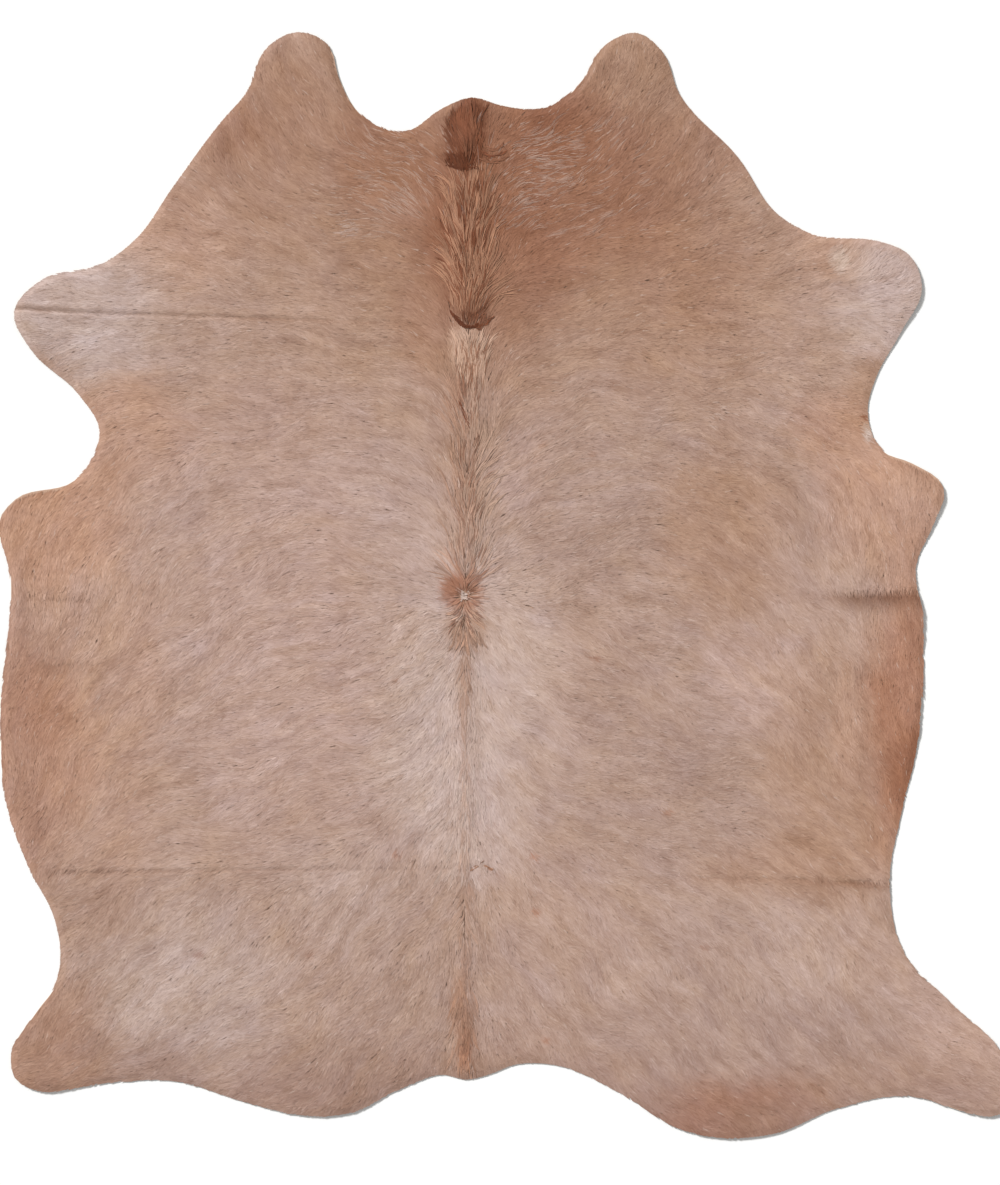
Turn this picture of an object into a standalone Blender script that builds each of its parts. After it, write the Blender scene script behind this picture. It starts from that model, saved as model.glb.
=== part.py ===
"""A whole hair-on cowhide rug, lying flat: one sheet of skin with its coat, seen from the hair side.

Metres, +Z up. The hide lies on z = 0 with its neck towards +Y, and the origin is under the middle
of its outline.
"""

import math

import bmesh
import bpy
from mathutils import Vector
from mathutils.geometry import delaunay_2d_cdt, interpolate_bezier, intersect_point_line

# Depths of the whole hide
SKIN_DEPTH = 0.0022
COAT_DEPTH = 0.0026
COAT_AT_CUT_EDGE = 0.0006
COAT_SHOULDER = 0.011

# Spacing of the surface's points
OUTLINE_STEP = 0.018
FIELD_STEP = 0.060
CREASE_STEP = 0.032
SPINE_STEP = 0.040
LEAST_GAP_SHARE = 0.55

# How far a fold mark lifts the skin, in half widths of its groove
SHOULDER_REACH = 5.0

HIDE_COLOUR = (0.49, 0.32, 0.25, 1.0)
HIDE_ROUGHNESS = 0.72

# The cut edge, clockwise: section, then its landmarks as (x, y)
OUTLINE = (
    ("left neck lobe", (-0.474, 1.078), (-0.418, 1.105), (-0.354, 1.076), (-0.336, 1.018)),
    ("left neck bay", (-0.293, 0.943), (-0.208, 0.905), (-0.126, 0.954)),
    ("nape", (-0.068, 0.975), (-0.012, 0.959), (0.084, 0.955), (0.143, 0.997)),
    ("right neck lobe", (0.209, 1.087), (0.259, 1.104), (0.309, 1.069), (0.344, 0.984)),
    ("right shoulder", (0.462, 0.856), (0.546, 0.738), (0.614, 0.700), (0.748, 0.686)),
    ("right foreleg", (0.801, 0.663), (0.829, 0.600), (0.786, 0.504), (0.738, 0.416)),
    ("right elbow notch", (0.721, 0.350), (0.750, 0.270), (0.811, 0.244)),
    ("right elbow lobe", (0.873, 0.196), (0.853, 0.126), (0.815, 0.030)),
    ("right belly", (0.829, -0.046), (0.832, -0.138), (0.818, -0.324), (0.784, -0.471)),
    ("right flank", (0.764, -0.588), (0.790, -0.729), (0.892, -0.840), (0.986, -0.932)),
    ("right hind shank", (1.012, -0.998), (0.988, -1.054), (0.926, -1.053), (0.816, -1.019)),
    ("right rump", (0.664, -1.043), (0.536, -1.094), (0.422, -1.101), (0.347, -1.084)),
    ("right of the tail", (0.233, -1.016), (0.115, -0.961), (0.020, -0.956)),
    ("tail stub", (-0.042, -0.979), (-0.082, -0.987), (-0.121, -0.977), (-0.206, -1.001)),
    ("left rump", (-0.316, -1.053), (-0.380, -1.059), (-0.526, -1.030), (-0.668, -0.988)),
    ("left hind shank", (-0.788, -0.991), (-0.866, -1.003), (-0.931, -1.009), (-0.982, -0.982)),
    ("left hock", (-0.989, -0.943), (-0.940, -0.854), (-0.898, -0.794)),
    ("left flank", (-0.890, -0.734), (-0.901, -0.670), (-0.956, -0.558)),
    ("left belly", (-1.003, -0.411), (-1.009, -0.260), (-1.003, -0.172), (-0.991, -0.062)),
    ("left elbow lobe", (-0.991, 0.028), (-1.008, 0.142), (-0.981, 0.172), (-0.863, 0.210)),
    ("left elbow notch", (-0.822, 0.259), (-0.812, 0.308), (-0.854, 0.382), (-0.950, 0.473)),
    ("left foreleg", (-0.982, 0.548), (-0.937, 0.603), (-0.800, 0.645)),
    ("left shoulder", (-0.741, 0.691), (-0.666, 0.796), (-0.569, 0.927), (-0.518, 0.986)),
)

# The longer coat down the backbone: section, x, y, extra depth, reach to each side
SPINE = (
    ("nape edge", -0.070, 0.970, 0.0010, 0.034),
    ("nape tuft", -0.074, 0.885, 0.0034, 0.040),
    ("nape fold", -0.078, 0.828, 0.0008, 0.042),
    ("withers mane", -0.080, 0.700, 0.0028, 0.056),
    ("mane curl", -0.076, 0.560, 0.0036, 0.054),
    ("below the curl", -0.074, 0.492, 0.0012, 0.046),
    ("back ridge", -0.076, 0.300, 0.0020, 0.052),
    ("before the whorl", -0.080, 0.060, 0.0022, 0.050),
    ("whorl", -0.083, -0.022, 0.0010, 0.054),
    ("behind the whorl", -0.083, -0.090, 0.0018, 0.044),
    ("loin", -0.082, -0.300, 0.0008, 0.040),
    ("croup", -0.083, -0.720, 0.0006, 0.030),
    ("tail head", -0.084, -0.880, 0.0018, 0.026),
    ("tail stub", -0.082, -0.986, 0.0018, 0.020),
)

# Fold marks: name, from (x, y), to (x, y), groove at each end, half width, shoulder height
CREASES = (
    ("left foreleg fold", (-0.960, 0.549), (-0.120, 0.524), 0.0024, 0.0006, 0.012, 0.0022),
    ("right foreleg fold", (-0.010, 0.522), (0.500, 0.520), 0.0006, 0.0002, 0.012, 0.0006),
    ("mane curl fold", (-0.116, 0.528), (-0.034, 0.530), 0.0030, 0.0024, 0.010, 0.0000),
    ("nape fold", (-0.124, 0.828), (0.002, 0.828), 0.0016, 0.0010, 0.009, 0.0004),
    ("left belly fold", (-0.962, -0.028), (-0.800, -0.026), 0.0022, 0.0006, 0.012, 0.0018),
    ("right belly fold", (0.630, -0.026), (0.816, -0.016), 0.0006, 0.0026, 0.014, 0.0030),
    ("left flank fold", (-0.920, -0.575), (-0.150, -0.562), 0.0022, 0.0014, 0.012, 0.0020),
    ("pucker, left arm", (-0.138, -0.570), (-0.082, -0.558), 0.0014, 0.0018, 0.010, 0.0010),
    ("pucker, right arm", (-0.054, -0.556), (0.002, -0.588), 0.0018, 0.0010, 0.010, 0.0010),
    ("right flank fold", (0.262, -0.584), (0.752, -0.598), 0.0006, 0.0026, 0.013, 0.0026),
    ("backbone fold", (-0.083, -0.140), (-0.083, -0.760), 0.0006, 0.0012, 0.009, 0.0004),
)

# Where the skin stands off the floor: name, x, y, reach along x, reach along y, height
LIFTS = (
    ("left neck lobe", -0.420, 1.060, 0.150, 0.150, 0.0036),
    ("right neck lobe", 0.262, 1.060, 0.140, 0.160, 0.0030),
    ("left foreleg", -0.960, 0.560, 0.190, 0.150, 0.0056),
    ("right foreleg", 0.820, 0.600, 0.200, 0.160, 0.0050),
    ("left elbow lobe", -1.000, 0.120, 0.150, 0.140, 0.0044),
    ("right elbow lobe", 0.860, 0.180, 0.150, 0.130, 0.0048),
    ("left belly wave", -0.990, -0.170, 0.200, 0.110, 0.0046),
    ("right belly wave", 0.825, -0.070, 0.210, 0.085, 0.0050),
    ("right lower belly wave", 0.820, -0.250, 0.150, 0.120, 0.0036),
    ("left hind shank", -0.960, -0.980, 0.200, 0.140, 0.0042),
    ("right hind shank", 1.000, -1.010, 0.240, 0.160, 0.0058),
    ("left rump", -0.370, -1.060, 0.220, 0.110, 0.0030),
    ("right rump", 0.430, -1.100, 0.240, 0.120, 0.0038),
)


def soft(distance):
    """1 at distance 0, falling smoothly to 0 at distance 1 and beyond."""
    return 0.5 + 0.5 * math.cos(math.pi * min(1.0, abs(distance)))


def between(low, high, share):
    return low + (high - low) * share


def outline_points():
    """The cut edge as a smooth closed curve through its landmarks, in points OUTLINE_STEP apart."""
    marks = [Vector(mark) for _, *section in OUTLINE for mark in section]
    headings = []
    for before, here, after in zip(marks[-1:] + marks, marks, marks[1:] + marks[:1]):
        arriving = here - before
        leaving = after - here
        heading = arriving.normalized() * leaving.length + leaving.normalized() * arriving.length
        headings.append(heading.normalized())
    points = []
    for i, start in enumerate(marks):
        end = marks[i + 1 - len(marks)]
        handle = (end - start).length / 3
        steps = max(2, round((end - start).length / OUTLINE_STEP))
        first_handle = start + headings[i] * handle
        last_handle = end - headings[i + 1 - len(marks)] * handle
        points += interpolate_bezier(start, first_handle, last_handle, end, steps + 1)[:-1]
    return points


def shoulder_points(edge):
    """The line inside the cut edge where the coat reaches its full depth."""
    inside = []
    for before, here, after in zip(edge[-1:] + edge, edge, edge[1:] + edge[:1]):
        along = (after - before).normalized()
        inside.append(here + Vector((along.y, -along.x)) * COAT_SHOULDER)
    return inside


def crease_points():
    """Rows of points along each fold mark: its bottom and its two lips."""
    points = []
    for _, start, end, _, _, half_width, _ in CREASES:
        start, end = Vector(start), Vector(end)
        along = (end - start).normalized()
        across = Vector((-along.y, along.x)) * half_width
        steps = max(2, round((end - start).length / CREASE_STEP))
        for step in range(steps + 1):
            bottom = start.lerp(end, step / steps)
            points += [bottom, bottom + across, bottom - across]
    return points


def spine_at(y):
    """The backbone's x, extra coat and reach at this y."""
    for (_, x1, y1, rise1, reach1), (_, x2, y2, rise2, reach2) in zip(SPINE, SPINE[1:]):
        if y1 >= y >= y2:
            share = (y1 - y) / (y1 - y2)
            return between(x1, x2, share), between(rise1, rise2, share), between(reach1, reach2, share)
    return 0.0, 0.0, 1.0


def spine_points():
    """Cross rows of points along the backbone."""
    top = SPINE[0][2]
    bottom = SPINE[-1][2]
    steps = round((top - bottom) / SPINE_STEP)
    points = []
    for step in range(steps + 1):
        y = between(top, bottom, step / steps)
        x, _, reach = spine_at(y)
        points += [Vector((x + side * reach, y)) for side in (-1.0, -0.5, 0.0, 0.5, 1.0)]
    return points


def field_points(edge):
    """An even triangular lattice over the whole hide."""
    xs = [point.x for point in edge]
    ys = [point.y for point in edge]
    row_step = FIELD_STEP * math.sqrt(3) / 2
    rows = math.ceil((max(ys) - min(ys)) / row_step)
    columns = math.ceil((max(xs) - min(xs)) / FIELD_STEP)
    return [
        Vector((min(xs) + (column + row % 2 / 2) * FIELD_STEP, min(ys) + row * row_step))
        for row in range(rows + 1)
        for column in range(columns + 1)
    ]


def is_inside(point, ring):
    """Whether the point lies inside the closed ring of points."""
    inside = False
    for a, b in zip(ring, ring[1:] + ring[:1]):
        if (a.y > point.y) != (b.y > point.y):
            crossing = a.x + (point.y - a.y) / (b.y - a.y) * (b.x - a.x)
            inside ^= crossing > point.x
    return inside


def kept_points(ring, groups):
    """The points of each group in turn that lie inside the ring and not too near those kept."""
    kept = list(ring)
    for points, step in groups:
        least = step * LEAST_GAP_SHARE
        for point in points:
            clear = all((point - other).length_squared > least * least for other in kept)
            if clear and is_inside(point, ring):
                kept.append(point)
    return kept[len(ring):]


def fold_marks_at(x, y):
    """How much the fold marks lift the skin here, and how deep a groove they leave in the coat."""
    lift = 0.0
    groove = 0.0
    for _, start, end, first, last, half_width, shoulder in CREASES:
        nearest, share = intersect_point_line((x, y), start, end)
        share = min(1.0, max(0.0, share))
        nearest = Vector(start).lerp(Vector(end), share)
        distance = (Vector((x, y)) - nearest).length
        strength = between(first, last, share) / max(first, last)
        lift = max(lift, shoulder * strength * soft(distance / (SHOULDER_REACH * half_width)))
        groove = max(groove, between(first, last, share) * soft(distance / half_width))
    return lift, groove


def skin_lift(x, y):
    """How far the underside stands off the floor."""
    waves = [
        height * soft(math.hypot((x - centre_x) / reach_x, (y - centre_y) / reach_y))
        for _, centre_x, centre_y, reach_x, reach_y, height in LIFTS
    ]
    return max(waves) + fold_marks_at(x, y)[0]


def coat_depth(x, y):
    """The depth of the lying hair, with the mane down the backbone and the fold marks' grooves."""
    centre, rise, reach = spine_at(y)
    return COAT_DEPTH + rise * soft((x - centre) / reach) - fold_marks_at(x, y)[1]


def coat_material():
    material = bpy.data.materials.new("hair_on_leather")
    material.use_nodes = True
    shader = material.node_tree.nodes["Principled BSDF"]
    shader.inputs["Base Color"].default_value = HIDE_COLOUR
    shader.inputs["Roughness"].default_value = HIDE_ROUGHNESS
    shader.inputs["Metallic"].default_value = 0.0
    return material


def make_hide():
    """One closed sheet: the underside is laid out flat, drawn up into the coat, then given its relief."""
    edge = outline_points()
    shoulder = shoulder_points(edge)
    groups = (
        (spine_points(), SPINE_STEP / 2),
        (crease_points(), CREASE_STEP / 2),
        (field_points(edge), FIELD_STEP),
    )
    points = edge + shoulder + kept_points(shoulder, groups)
    count = len(edge)
    cut_line = [(i, (i + 1) % count) for i in range(count)]
    flat, _, faces, *_ = delaunay_2d_cdt(points, cut_line, [], 1, 1e-6)

    work = bmesh.new()
    under = [work.verts.new((x, y, 0.0)) for x, y in flat]
    for face in faces:
        work.faces.new([under[i] for i in face])
    bmesh.ops.recalc_face_normals(work, faces=work.faces)
    raised = bmesh.ops.extrude_face_region(work, geom=work.faces[:], use_keep_orig=True)
    upper = [piece for piece in raised["geom"] if isinstance(piece, bmesh.types.BMVert)]
    rim = {(round(point.x, 5), round(point.y, 5)) for point in edge}
    for vert in under:
        vert.co.z = skin_lift(vert.co.x, vert.co.y)
    for vert in upper:
        x, y = vert.co.xy
        at_rim = (round(x, 5), round(y, 5)) in rim
        coat = COAT_AT_CUT_EDGE if at_rim else coat_depth(x, y)
        vert.co.z = skin_lift(x, y) + SKIN_DEPTH + coat
    middle_x = (min(v.co.x for v in work.verts) + max(v.co.x for v in work.verts)) / 2
    middle_y = (min(v.co.y for v in work.verts) + max(v.co.y for v in work.verts)) / 2
    bmesh.ops.translate(work, vec=(-middle_x, -middle_y, 0.0), verts=work.verts)
    bmesh.ops.triangulate(work, faces=work.faces)
    bmesh.ops.recalc_face_normals(work, faces=work.faces)

    mesh = bpy.data.meshes.new("hide")
    work.to_mesh(mesh)
    work.free()
    mesh.shade_smooth()
    mesh.set_sharp_from_angle(angle=math.radians(40))
    mesh.materials.append(coat_material())
    hide = bpy.data.objects.new("hide", mesh)
    bpy.context.scene.collection.objects.link(hide)
    return hide


for old in list(bpy.data.objects):
    bpy.data.objects.remove(old)
make_hide()
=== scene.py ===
import math

import bmesh
import bpy
import numpy as np
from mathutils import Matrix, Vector
from mathutils.bvhtree import BVHTree
from mathutils.kdtree import KDTree


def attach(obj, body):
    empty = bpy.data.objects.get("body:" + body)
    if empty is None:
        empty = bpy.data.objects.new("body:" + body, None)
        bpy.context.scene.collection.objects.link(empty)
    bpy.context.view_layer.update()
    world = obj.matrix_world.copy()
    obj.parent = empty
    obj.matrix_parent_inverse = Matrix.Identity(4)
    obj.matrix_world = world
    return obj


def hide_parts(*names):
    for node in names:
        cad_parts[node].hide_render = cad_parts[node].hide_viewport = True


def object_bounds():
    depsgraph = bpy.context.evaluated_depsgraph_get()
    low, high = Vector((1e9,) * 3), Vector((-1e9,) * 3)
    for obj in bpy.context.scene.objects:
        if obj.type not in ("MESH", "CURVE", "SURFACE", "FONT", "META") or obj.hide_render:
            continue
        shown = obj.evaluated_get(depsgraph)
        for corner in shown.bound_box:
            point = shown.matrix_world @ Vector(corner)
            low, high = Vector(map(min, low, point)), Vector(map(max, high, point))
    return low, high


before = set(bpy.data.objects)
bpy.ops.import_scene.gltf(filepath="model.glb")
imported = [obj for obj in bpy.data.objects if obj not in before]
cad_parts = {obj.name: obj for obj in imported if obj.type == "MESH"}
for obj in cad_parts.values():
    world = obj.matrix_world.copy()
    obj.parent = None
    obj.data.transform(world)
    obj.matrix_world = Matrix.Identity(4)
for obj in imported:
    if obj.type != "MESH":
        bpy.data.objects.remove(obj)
cad_low, cad_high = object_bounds()


# Camera: the hide lies on the floor and is seen from straight above, head end up, through a long lens.
# The view is 2.00 by 2.37 m on the floor, so the right hind shank just leaves it.
VIEW_CENTRE = (-0.012, -0.015)
VIEW_LENGTH = 2.37
LENS = 85.0
SENSOR = 36.0

lens = bpy.data.cameras.new("overhead")
lens.lens = LENS
lens.sensor_width = SENSOR
lens.sensor_fit = "AUTO"
lens.clip_end = 60.0
overhead = bpy.data.objects.new("overhead", lens)
overhead.location = (*VIEW_CENTRE, VIEW_LENGTH * LENS / SENSOR)
bpy.context.scene.collection.objects.link(overhead)
bpy.context.scene.camera = overhead


# Skin: one whole cattle hide about 2 mm thick, tanned soft with its coat left on and cut round by hand.
# Its flesh side is buffed to suede. It lies flat but for its lobes and the folds that it was packed
# with, which stand a few millimetres off the floor.
SKIN_DEPTH = 0.0022
SKIN_STEP = 0.022
FOLD_STEP = 0.009
FOLD_REACH = 0.030
RIM_STEP = 0.001
SKIN_SMOOTHING = 5
SPLIT_ROUNDS = 6
FLOOR_GAP = 0.0002
FOLD_DEPTH = 0.0016
SHARP_EDGE = 40
LATTICE = 1024
SUEDE_PALE = "#C9B9A2"
SUEDE_DARK = "#A9957D"
GRAIN_PALE = "#CFAB92"
GRAIN_DARK = "#B58D74"

# Fold marks: name, start, end, strength at each end, half width of the trough, fade of the painted shade
# below it, or above it where less than 0
FOLD_MARKS = (
    ("left foreleg fold, tip", (-0.978, 0.551), (-0.844, 0.544), (0.68, 0.54), 0.0065, -0.018),
    ("left foreleg fold", (-0.844, 0.544), (-0.532, 0.534), (0.48, 0.38), 0.0065, -0.015),
    ("left shoulder fold", (-0.532, 0.534), (-0.350, 0.529), (0.44, 0.28), 0.0060, 0.009),
    ("left mane fold", (-0.350, 0.529), (-0.116, 0.519), (0.24, 0.10), 0.0060, 0.010),
    ("right mane fold", (-0.010, 0.522), (0.500, 0.520), (0.14, 0.05), 0.0060, 0.010),
    ("left belly fold", (-0.956, -0.024), (-0.830, -0.028), (0.90, 0.40), 0.0060, 0.010),
    ("left flank mark", (-0.922, -0.157), (-0.802, -0.155), (0.35, 0.30), 0.0040, 0.036),
    ("right belly fold", (0.590, -0.020), (0.690, -0.019), (0.15, 0.85), 0.0055, 0.022),
    ("right belly fold, dark end", (0.690, -0.019), (0.838, -0.014), (0.88, 1.20), 0.0075, 0.050),
    ("left flank fold", (-0.916, -0.575), (-0.700, -0.571), (0.58, 0.42), 0.0055, 0.009),
    ("left loin fold", (-0.700, -0.571), (-0.110, -0.562), (0.42, 0.26), 0.0050, 0.008),
    ("pucker, left arm", (-0.140, -0.570), (-0.100, -0.556), (0.35, 0.25), 0.0050, 0.007),
    ("pucker, left peak", (-0.076, -0.572), (-0.052, -0.557), (0.30, 0.60), 0.0050, 0.007),
    ("pucker, right arm", (-0.052, -0.557), (0.004, -0.589), (0.60, 0.15), 0.0050, 0.008),
    ("right flank fold", (0.262, -0.584), (0.560, -0.588), (0.12, 0.45), 0.0055, 0.010),
    ("right flank fold, end", (0.560, -0.588), (0.764, -0.598), (0.50, 0.90), 0.0070, 0.016),
    ("right foreleg crease", (0.620, 0.594), (0.760, 0.612), (0.10, 0.30), 0.0050, -0.010),
)
# How unevenly a mark shows along its length, and how wide its blotches are
FOLD_UNEVENNESS = 0.25
FOLD_UNEVEN_SIZE = 0.035
# The painted shade's reach on the sharp side of a mark, as a share of the trough's half width
FOLD_SHARP_SIDE = 0.55


def srgb(code):
    """A hex colour as linear red, green and blue."""
    parts = [int(code[i:i + 2], 16) / 255 for i in (1, 3, 5)]
    return [part / 12.92 if part <= 0.04045 else ((part + 0.055) / 1.055) ** 2.4 for part in parts]


def add_node(tree, kind, settings={}, values={}, links={}):
    """Adds a node with its settings, its socket values and its links, each from (node, output)."""
    node = tree.nodes.new(kind)
    for name, value in settings.items():
        setattr(node, name, value)
    for socket, value in values.items():
        node.inputs[socket].default_value = value
    for socket, (source, output) in links.items():
        tree.links.new(source.outputs[output], node.inputs[socket])
    return node


def soft(distance):
    """1 at distance 0, falling smoothly to 0 at distance 1 and beyond."""
    return 0.5 + 0.5 * np.cos(np.pi * np.clip(np.abs(distance), 0.0, 1.0))


def mottle(x, y, size, seed):
    """Smooth seeded noise from -1 to 1, in blotches about size across."""
    lattice = np.random.default_rng(seed).uniform(-1.0, 1.0, (LATTICE, LATTICE))
    u = x / size + LATTICE / 2
    v = y / size + LATTICE / 2
    column = np.floor(u).astype(int)
    row = np.floor(v).astype(int)
    u = u - column
    v = v - row
    u = u * u * (3.0 - 2.0 * u)
    v = v * v * (3.0 - 2.0 * v)
    lower = lattice[row, column] * (1.0 - u) + lattice[row, column + 1] * u
    upper = lattice[row + 1, column] * (1.0 - u) + lattice[row + 1, column + 1] * u
    return lower * (1.0 - v) + upper * v


def fold_marks_at(x, y):
    """How far each place is in a fold mark's trough, and in the painted shade beside it, both 0 to 1."""
    trough = np.zeros_like(x)
    shade = np.zeros_like(x)
    unevenness = 1.0 + FOLD_UNEVENNESS * mottle(x, y, FOLD_UNEVEN_SIZE, 15)
    for _, start, end, (first, last), half_width, fade in FOLD_MARKS:
        along_x = end[0] - start[0]
        along_y = end[1] - start[1]
        length = math.hypot(along_x, along_y)
        share = ((x - start[0]) * along_x + (y - start[1]) * along_y) / length ** 2
        share = np.clip(share, 0.0, 1.0)
        aside_x = x - start[0] - share * along_x
        aside_y = y - start[1] - share * along_y
        distance = np.hypot(aside_x, aside_y)
        strength = (first + (last - first) * share) * unevenness
        trough = np.maximum(trough, strength * soft(distance / half_width))
        reach = np.where(aside_y * fade > 0.0, half_width * FOLD_SHARP_SIDE, abs(fade))
        shade = np.maximum(shade, strength * soft(distance / reach))
    return np.minimum(trough, 1.0), shade


def suede_and_grain():
    """The two sides of chrome-tanned cowhide: napped suede below, and fine pored grain above."""
    suede = bpy.data.materials.new("buffed suede flesh side")
    suede.use_nodes = True
    tree = suede.node_tree
    shader = tree.nodes["Principled BSDF"]
    place = add_node(tree, "ShaderNodeTexCoord")
    # Nap about 2 mm across, drawn coarser than the real 0.5 mm so that it shows
    nap = add_node(tree, "ShaderNodeTexNoise", values={"Scale": 500.0, "Detail": 3.0},
                   links={"Vector": (place, "Object")})
    blotch = add_node(tree, "ShaderNodeTexNoise", values={"Scale": 9.0, "Detail": 4.0},
                      links={"Vector": (place, "Object")})
    mix = add_node(tree, "ShaderNodeMix", {"data_type": "RGBA"},
                   {"A": (*srgb(SUEDE_DARK), 1.0), "B": (*srgb(SUEDE_PALE), 1.0)},
                   {"Factor": (blotch, "Fac")})
    bump = add_node(tree, "ShaderNodeBump", values={"Strength": 0.35, "Distance": 0.0006},
                    links={"Height": (nap, "Fac")})
    tree.links.new(mix.outputs["Result"], shader.inputs["Base Color"])
    tree.links.new(bump.outputs["Normal"], shader.inputs["Normal"])
    shader.inputs["Roughness"].default_value = 0.95
    shader.inputs["Specular IOR Level"].default_value = 0.2

    grain = bpy.data.materials.new("tanned hair cells")
    grain.use_nodes = True
    tree = grain.node_tree
    shader = tree.nodes["Principled BSDF"]
    place = add_node(tree, "ShaderNodeTexCoord")
    # Hair cells 1.6 mm apart, drawn coarser than the real 0.3 mm
    pores = add_node(tree, "ShaderNodeTexVoronoi", values={"Scale": 620.0},
                     links={"Vector": (place, "Object")})
    blotch = add_node(tree, "ShaderNodeTexNoise", values={"Scale": 14.0, "Detail": 4.0},
                      links={"Vector": (place, "Object")})
    mix = add_node(tree, "ShaderNodeMix", {"data_type": "RGBA"},
                   {"A": (*srgb(GRAIN_DARK), 1.0), "B": (*srgb(GRAIN_PALE), 1.0)},
                   {"Factor": (blotch, "Fac")})
    bump = add_node(tree, "ShaderNodeBump", values={"Strength": 0.3, "Distance": 0.0004},
                    links={"Height": (pores, "Distance")})
    tree.links.new(mix.outputs["Result"], shader.inputs["Base Color"])
    tree.links.new(bump.outputs["Normal"], shader.inputs["Normal"])
    shader.inputs["Roughness"].default_value = 0.6
    return suede, grain


def split_edges(work, step, near_folds):
    """Splits the edges longer than step, all over or only near the fold marks."""
    for _ in range(SPLIT_ROUNDS):
        wide = [edge for edge in work.edges if edge.calc_length() > step]
        if near_folds and wide:
            middle = np.array([(edge.verts[0].co + edge.verts[1].co) / 2 for edge in wide])
            near = fold_distance(middle[:, 0], middle[:, 1]) < FOLD_REACH
            wide = [edge for edge, kept in zip(wide, near) if kept]
        if not wide:
            return
        bmesh.ops.subdivide_edges(work, edges=wide, cuts=1)
        bmesh.ops.triangulate(work, faces=work.faces)


def fold_distance(x, y):
    """The distance to the nearest fold mark."""
    nearest = np.full_like(x, 9.0)
    for _, start, end, *_ in FOLD_MARKS:
        along_x = end[0] - start[0]
        along_y = end[1] - start[1]
        share = ((x - start[0]) * along_x + (y - start[1]) * along_y) / (along_x ** 2 + along_y ** 2)
        share = np.clip(share, 0.0, 1.0)
        distance = np.hypot(x - start[0] - share * along_x, y - start[1] - share * along_y)
        nearest = np.minimum(nearest, distance)
    return nearest


work = bmesh.new()
work.from_mesh(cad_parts["hide"].data)
bmesh.ops.remove_doubles(work, verts=work.verts, dist=0.00001)
work.normal_update()
# Only the underside is kept, and the skin is raised from it
upper = [face for face in work.faces if face.normal.z > -0.5]
bmesh.ops.delete(work, geom=upper, context="FACES")
split_edges(work, SKIN_STEP, near_folds=False)
split_edges(work, FOLD_STEP, near_folds=True)
inner = [vert for vert in work.verts if not vert.is_boundary]
for _ in range(SKIN_SMOOTHING):
    bmesh.ops.smooth_vert(work, verts=inner, factor=0.5, use_axis_z=True)
places = np.array([vert.co for vert in work.verts])
trough, _ = fold_marks_at(places[:, 0], places[:, 1])
for vert, share in zip(work.verts, trough.tolist()):
    vert.co.z = max(FLOOR_GAP, vert.co.z + FLOOR_GAP - FOLD_DEPTH * share)
underside = BVHTree.FromBMesh(work)
rim = []
for edge in work.edges:
    if edge.is_boundary:
        start, end = (vert.co for vert in edge.verts)
        steps = math.ceil(edge.calc_length() / RIM_STEP)
        rim += [start.lerp(end, step / steps) for step in range(steps)]
raised = bmesh.ops.extrude_face_region(work, geom=work.faces[:], use_keep_orig=True)
top = [piece for piece in raised["geom"] if isinstance(piece, bmesh.types.BMVert)]
bmesh.ops.translate(work, vec=(0.0, 0.0, SKIN_DEPTH), verts=top)
bmesh.ops.recalc_face_normals(work, faces=work.faces)
for face in work.faces:
    face.smooth = True
    face.material_index = int(face.normal.z > 0.5)
skin_mesh = bpy.data.meshes.new("hide_skin")
work.to_mesh(skin_mesh)
work.free()
for side in suede_and_grain():
    skin_mesh.materials.append(side)
skin_mesh.set_sharp_from_angle(angle=math.radians(SHARP_EDGE))
hide_skin = bpy.data.objects.new("hide_skin", skin_mesh)
bpy.context.scene.collection.objects.link(hide_skin)
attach(hide_skin, "root")
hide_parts("hide")


# Coat: short straight cattle hair, 20 to 30 mm long, which lies flat in a layer under 3 mm deep. It parts
# along the backbone, turns at the whorl and sweeps out and down to the bellies. Real hair is 0.05 mm
# thick, so each blade is drawn coarser, as a wisp of hairs about 3 mm wide.
COAT_DEPTH = 0.0026
COAT_AT_RIM = 0.0007
COAT_PRESSED = 0.75
RIM_REACH = 0.012
ROOT_INSET = 0.0008
OVERHANG = 0.0014
GRID_STEP = 0.003
GRID_MARGIN = 0.030
HAIR_SPACING = 0.00295
HAIR_LENGTH = (0.021, 0.031)
HAIR_WIDTH = (0.0027, 0.0039)
HAIR_STRAY = 0.13
HAIR_CURL = 0.08
HAIR_ROLL = 0.08
HAIR_LIFT = (0.84, 1.0)
HAIR_SHAPE = (0.15, 0.75)
LEAST_COAT = 0.0003
LEAST_HAIR = 0.25
HAIR_ROOT_SHADE = 0.90
HAIR_TIP_LIGHT = 1.05
HAIR_ROOT_HEIGHT = 0.42
HAIR_SWELL = 0.34
# How much a fold mark's painted shade darkens the hair's colour
FOLD_DARKNESS = 0.45
# How red, green and blue fall as the hair's colour darkens, so that darker tones and the painted shade turn
# warmer
DARK_IS_WARM = (1.0, 1.28, 1.50)
PATCH_CORE = 0.30
WHORL = (-0.083, -0.022)
WHORL_REACH = 0.060
WHORL_EYE = 0.006
WHORL_EYE_HAIR = 0.20

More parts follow.
